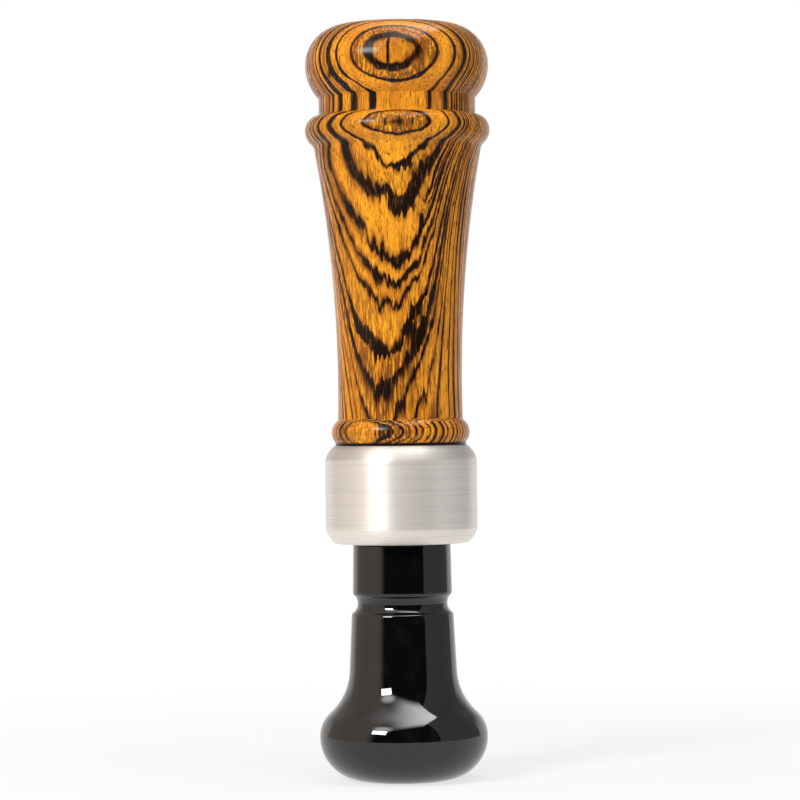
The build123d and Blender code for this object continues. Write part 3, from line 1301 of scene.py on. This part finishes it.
@dataclass(frozen=True)
class Stopper(Turning):
    """The black stopper: flared foot, tapered stem, lanyard groove, neck, socket and exhaust bore.

    Each pair of sizes is a radius and a length along the axis.
    """

    foot: float = 8.38
    flare_rise: float = 8.25
    flare_round: float = 6.2
    stem: Point = (10.22, 12.4)
    stem_top: Point = (9.67, 11.0)
    groove: Point = (8.54, 3.65)
    neck: float = 9.44
    neck_top: float = 9.27
    socket: Point = (7.8, 8.0)
    exhaust: Point = (6.38, 26.0)
    tone_bore: float = 3.97
    edge: float = 0.42

    def outline(self) -> np.ndarray:
        """Outline of the stopper, with an ogee of two arcs between the flare and the stem.

        The hollow arc is tangent to the stem and to the convex arc: with d from the convex arc's centre to
        the stem's foot and n the stem's normal, its radius is (d.d - R^2) / (2 (R - d.n)).

        Returns:
            The points of the closed outline.
        """
        low, shoulder = node_span("stopper")
        flare = node_radius("stopper")
        rise = low + self.flare_rise
        stem_z = rise + self.stem[1]
        groove_low = stem_z + self.stem_top[1]
        groove_high = groove_low + self.groove[1]
        lean = math.atan2(self.stem[0] - self.stem_top[0], self.stem_top[1])
        normal = np.array((math.cos(lean), math.sin(lean)))
        centre = np.array((flare - self.flare_round, rise))
        reach = np.array((self.stem[0], stem_z)) - centre
        hollow = (reach @ reach - self.flare_round ** 2) / (2 * (self.flare_round - reach @ normal))
        between = reach + hollow * normal
        ogee = centre + between * self.flare_round / (self.flare_round + hollow)
        path = Outline(self.exhaust[0], low).line(self.foot, low)
        path.arc(flare, rise, arriving=(0, 1)).arc(ogee[0], ogee[1], leaving=(0, 1))
        path.arc(self.stem[0], stem_z, arriving=(-normal[1], normal[0])).line(self.stem_top[0], groove_low)
        path.through((self.groove[0], (groove_low + groove_high) / 2), (self.neck, groove_high))
        path.line(self.neck_top, shoulder).line(self.socket[0], shoulder)
        path.line(self.socket[0], shoulder - self.socket[1]).line(self.tone_bore, shoulder - self.socket[1])
        path.line(self.tone_bore, low + self.exhaust[1]).line(self.exhaust[0], low)
        return path.softened(self.edge)


@dataclass(frozen=True)
class RubberRing(Turning):
    """A round-section rubber ring."""

    node: str = "front_o_ring"
    steps: int = 40

    def outline(self) -> np.ndarray:
        """Outline of the ring's section, from its node's box: (R + s cos a, h + s sin a).

        Returns:
            The points of the closed outline.
        """
        low, high = node_span(self.node)
        section = (high - low) / 2
        radius = node_radius(self.node) - section
        angle = np.linspace(0.0, math.tau, self.steps, endpoint=False)
        return np.stack((radius + section * np.cos(angle), low + section + section * np.sin(angle)), -1)


@dataclass(frozen=True)
class Reed:
    """A strip of film that lies from the edge of the wedge over the face of the board.

    A reed with a dimple, given by its height and the depth that it rests on, stands off by a lift there.
    """

    node: str
    thickness: float
    dimple: Point | None = None
    dimple_width: float = 0.75
    lift: float = 0.28
    corner: float = 2.0
    hold: float = 72.95
    bend_from: float = 80.0
    bend_to: float = 118.0
    rows: int = 150
    row_power: float = 1.6
    columns: int = 48
    section_power: float = 0.25

    def surface(self) -> tuple[np.ndarray, list]:
        """The closed strip: a thin rounded section carried up the reed.

        The section is a superellipse, x = w sgn(cos a) |cos a|^p and y = t sgn(sin a) |sin a|^p. Its half
        width w is less at the clipped corners. With a dimple, its middle rises evenly past the wedge, and
        the dimple is a bell, lift exp(-(d / width)^2) at the distance d from its middle.

        Returns:
            Vertices, in metres, and faces.
        """
        low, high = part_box(self.node)
        bottom, top = low.z / MM, high.z / MM
        half = high.x / MM
        share = np.linspace(0.0, 1.0, self.rows)
        height = (bottom + (top - bottom) * (1 - (1 - share) ** self.row_power))[:, None]
        angle = np.linspace(0.0, math.tau, self.columns, endpoint=False)[None, :]
        width = half - np.clip(height - (top - self.corner), 0.0, self.corner)
        across = np.sign(np.cos(angle)) * np.abs(np.cos(angle)) ** self.section_power
        through = np.sign(np.sin(angle)) * np.abs(np.sin(angle)) ** self.section_power
        x = width * across
        y = -(1 + through) * self.thickness / 2
        if self.dimple is None:
            y = y + high.y / MM
        else:
            dimple_height, depth = self.dimple
            rise = self.lift * np.clip(height - self.hold, 0.0, None) / (dimple_height - self.hold)
            distance = np.hypot(x, height - dimple_height)
            y = y + depth - rise + self.lift * np.exp(-(distance / self.dimple_width) ** 2)
        places = np.stack(np.broadcast_arrays(x, y, height), -1).reshape(-1, 3) * MM
        faces = grid_faces(self.rows, self.columns, False).tolist()
        first = list(range(self.columns))[::-1]
        last = [(self.rows - 1) * self.columns + number for number in range(self.columns)]
        return places, [*faces, first, last]

    def build(self, finishes: dict[Finish, bpy.types.Material]) -> None:
        """Makes the reed, bakes its place into its mesh and hides its node.

        Args:
            finishes: All materials.
        """
        piece = make_piece(self.node + "_film", *self.surface(), finishes[Finish.FILM])
        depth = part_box(self.node)[1].y
        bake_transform(piece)
        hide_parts(self.node)


# Studio


@dataclass(frozen=True)
class PhotoCamera:
    """The photograph's camera: level, far off, and turned a little about its own view."""

    frame_pixels: float = 800.0
    distance_pixels: float = 3400.0
    millimetres_a_pixel: float = 0.19
    height: float = 72.07
    roll: float = 0.65
    aside: float = -0.05
    nearest: float = 10.0

    def place(self) -> None:
        """Puts the camera in front of the call."""
        data = bpy.data.cameras.new("photo_camera")
        data.angle = 2 * math.atan(self.frame_pixels / 2 / self.distance_pixels)
        data.clip_start = self.nearest * MM
        camera = bpy.data.objects.new("photo_camera", data)
        distance = self.distance_pixels * self.millimetres_a_pixel * MM
        camera.location = (self.aside * MM, -distance, self.height * MM)
        camera.rotation_euler = (math.pi / 2, math.radians(self.roll), 0.0)
        bpy.context.scene.collection.objects.link(camera)
        bpy.context.scene.camera = camera


@dataclass(frozen=True)
class Softbox:
    """A rectangular studio light, aimed at a point of the call; sizes are in metres, angles in degrees."""

    name: str
    azimuth: float
    elevation: float
    distance: float
    size: Point
    radiance: float
    tint: Colour = (1.0, 1.0, 1.0)
    aim_height: float = 0.06

    def place(self) -> bpy.types.Object:
        """Puts up the light; azimuth counts from the camera's side towards +x.

        Returns:
            The light.
        """
        data = bpy.data.lights.new(self.name, "AREA")
        data.shape = "RECTANGLE"
        data.size, data.size_y = self.size
        data.energy = self.radiance * math.pi * self.size[0] * self.size[1]
        data.color = self.tint
        light = bpy.data.objects.new(self.name, data)
        azimuth, elevation = math.radians(self.azimuth), math.radians(self.elevation)
        level = self.distance * math.cos(elevation)
        light.location = (level * math.sin(azimuth), -level * math.cos(azimuth),
                          self.aim_height + self.distance * math.sin(elevation))
        light.rotation_euler = (math.pi / 2 - elevation, 0.0, azimuth)
        light.visible_camera = False
        bpy.context.scene.collection.objects.link(light)
        return light


@dataclass(frozen=True)
class Studio:
    """A white sweep, soft lights, and a room that only gloss shows.

    The room has a warm white wall on the left, a cool grey one on the right, a dark one in front, a white
    one behind, a wide box overhead and a small light in a corner.
    """

    key: Softbox = Softbox("key_softbox", -37.5, 29.0, 1.0, (0.345, 0.21), 32.0, (1.0, 0.985, 0.96))
    top: Softbox = Softbox("top_softbox", 28.0, 71.0, 1.2, (0.42, 0.36), 6.0)
    fill: Point = (0.3, 0.43)
    fill_rise: Point = (-0.35, 0.45)
    fill_sides: Point = (0.72, 1.42)
    fill_across: Point = (-1.0, 1.0)
    left_wall: tuple[Colour, Colour] = ((0.6, 0.52, 0.45), (0.98, 0.845, 0.73))
    right_wall: tuple[Colour, Colour] = ((0.28, 0.305, 0.325), (0.48, 0.52, 0.55))
    wall_shade: Point = (-0.8, 0.6)
    wall_seam: Point = (-0.05, 0.05)
    front_wall: Colour = (0.012, 0.013, 0.015)
    front_left: Point = (-0.84, -0.64)
    front_right: Point = (0.785, 0.765)
    front_edge: Point = (0.0, 0.1)
    back_wall: Colour = (1.0, 1.0, 1.0)
    back_edge: Point = (-0.60, -0.635)
    back_rise: Point = (0.45, 0.15)
    ceiling_left: Point = (-0.7, 0.05)
    ceiling_right: Point = (0.48, 0.45)
    ceiling_slant: float = 0.72
    ceiling_front: Point = (-1.05, -0.5)
    ceiling_back: Point = (0.8, 0.3)
    ceiling_rise: Point = (-0.35, 0.4)
    ceiling_glow: Point = (2.0, 8.5)
    corner_place: Point = (-0.62, -0.85)
    corner_edge: Point = (0.4, 0.12)
    corner_glow: float = 6.0
    least_square: float = 1e-6
    least_rise: float = 0.05
    floor_radius: float = 0.42
    floor_sides: int = 96
    floor_drop: float = 0.02
    floor_shade: float = 0.9
    floor_glow: float = 0.72
    floor_gloss: float = 0.95
    floor_fade: Point = (0.03, 0.252)

    def _walls(self, graph: Graph, direction: tuple[Wire, Wire, Wire]) -> Wire:
        """The four walls of the room.

        Args:
            graph: The world's graph.
            direction: The parts of the direction that is looked in.

        Returns:
            Their colour.
        """
        x, y, z = direction
        level = (x * x + y * y + self.least_square).math("SQRT")
        aside, facing = x / level, -y / level
        near = facing.ease(*self.wall_shade)
        left, right = (graph.mix(near, *wall) for wall in (self.left_wall, self.right_wall))
        walls = graph.mix(aside.ease(*self.wall_seam), left, right)
        front = aside.ease(*self.front_left) * aside.ease(*self.front_right) * facing.ease(*self.front_edge)
        walls = graph.mix(front, walls, self.front_wall)
        return graph.mix(facing.ease(*self.back_edge) * z.ease(*self.back_rise), walls, self.back_wall)

    def _overhead(self, graph: Graph, direction: tuple[Wire, Wire, Wire], walls: Wire) -> Wire:
        """Hangs the slanted box, brighter towards the right, and the corner's light over the walls.

        Args:
            graph: The world's graph.
            direction: The parts of the direction that is looked in.
            walls: The walls' colour.

        Returns:
            The room's colour.
        """
        x, y, z = direction
        up = z.math("MAXIMUM", self.least_rise)
        over_x, over_y = x / up, y / up
        box = over_x.ease(*self.ceiling_left) * over_x.ease(*self.ceiling_right)
        box = box * (over_y - over_x * self.ceiling_slant).ease(*self.ceiling_front)
        box = box * over_y.ease(*self.ceiling_back)
        low, high = ((glow,) * 3 for glow in self.ceiling_glow)
        room = graph.mix(box, walls, graph.mix(over_x.ease(*self.ceiling_rise), low, high))
        aside, ahead = over_x - self.corner_place[0], over_y - self.corner_place[1]
        distance = (aside * aside + ahead * ahead).math("SQRT")
        return graph.mix(distance.ease(*self.corner_edge), room, (self.corner_glow,) * 3)

    def _world(self) -> None:
        """Makes the world: white to the camera, the room to gloss, and a soft fill to all else.

        The fill rises with height and towards the right.
        """
        world = bpy.data.worlds.new("studio")
        world.use_nodes = True
        bpy.context.scene.world = world
        graph = Graph(world.node_tree)
        direction = graph.split(graph.wire("ShaderNodeTexCoord", "Generated"))
        x, _, z = direction
        room = self._overhead(graph, direction, self._walls(graph, direction))
        fill = z.ease(*self.fill_rise).spread(*self.fill)
        fill = fill * x.ease(*self.fill_across).spread(*self.fill_sides)
        light = graph.mix(graph.ray("Is Glossy Ray"), fill, room)
        clear = highest([graph.ray("Is Camera Ray"), graph.ray("Is Transmission Ray")])
        light = graph.mix(clear, light, self.back_wall)
        shader = graph.wire("ShaderNodeBackground", 0, {"Color": light, "Strength": 1.0})
        graph.node("ShaderNodeOutputWorld", {"Surface": shader})

    def _floor(self) -> None:
        """Lays a round pale floor, which turns into the white backdrop at its rim and keeps the shadow."""
        material, graph = new_material("pale_floor")
        x, y, _ = graph.split(graph.wire("ShaderNodeTexCoord", "Object"))
        share = (x * x + y * y).math("SQRT").ease(*self.floor_fade).spread(self.floor_glow, 1.0)
        paper = graph.wire("ShaderNodeBsdfDiffuse", 0, {"Color": (*(self.floor_shade,) * 3, 1.0)})
        glow = graph.wire("ShaderNodeEmission", 0, {"Color": (*self.back_wall, 1.0), "Strength": 1.0})
        shown = graph.ray("Is Camera Ray") * share + graph.ray("Is Glossy Ray") * self.floor_gloss
        mixed = graph.wire("ShaderNodeMixShader", 0, {0: shown, 1: paper, 2: glow})
        graph.node("ShaderNodeOutputMaterial", {"Surface": mixed})

        angle = np.linspace(0.0, math.tau, self.floor_sides, endpoint=False)
        round_x, round_y = self.floor_radius * np.cos(angle), self.floor_radius * np.sin(angle)
        rim = np.stack((round_x, round_y, np.full_like(angle, -self.floor_drop * MM)), -1)
        floor = make_piece("floor", rim, [list(range(self.floor_sides))], material)

    def build(self) -> None:
        """Sets up the world, the floor and the lights."""
        self._world()
        self._floor()
        self.key.place()
        self.top.place().visible_glossy = False
        bpy.context.scene.view_settings.view_transform = "Standard"


@dataclass(frozen=True)
class DuckCall:
    """The whole call: its turned pieces, and the sound unit inside."""

    barrel: Barrel = Barrel()
    band: Band = Band()
    stopper: Stopper = Stopper()
    rings: tuple[RubberRing, ...] = (RubberRing(node="front_o_ring"), RubberRing(node="rear_o_ring"))
    lower_reed: Reed = Reed("lower_reed", thickness=0.36)
    upper_reed: Reed = Reed("upper_reed", thickness=0.25, dimple=(94.55, -1.96))

    def build(self, finishes: dict[Finish, bpy.types.Material]) -> None:
        """Builds and dresses every piece.

        Args:
            finishes: All materials.
        """
        self.barrel.build("barrel", "barrel_wood", "barrel", Finish.WOOD, finishes)
        self.band.build("band", "band_ring", "barrel", Finish.ALUMINIUM, finishes)
        self.stopper.build("stopper", "stopper_turned", "stopper", Finish.ACRYLIC, finishes)
        for ring in self.rings:
            ring.build(ring.node, ring.node + "_rubber", "o_rings", Finish.RUBBER, finishes)
        for reed in (self.lower_reed, self.upper_reed):
            reed.build(finishes)
        dress_node("tone_board", Finish.PLASTIC, finishes)
        dress_node("cork_wedge", Finish.CORK, finishes)


def main() -> None:
    """Sets up the studio and the camera, and builds the call."""
    logging.basicConfig(level=logging.INFO, format="%(name)s: %(message)s")
    PhotoCamera().place()
    Studio().build()
    DuckCall().build(make_finishes())


if __name__ == "__main__":
    main()
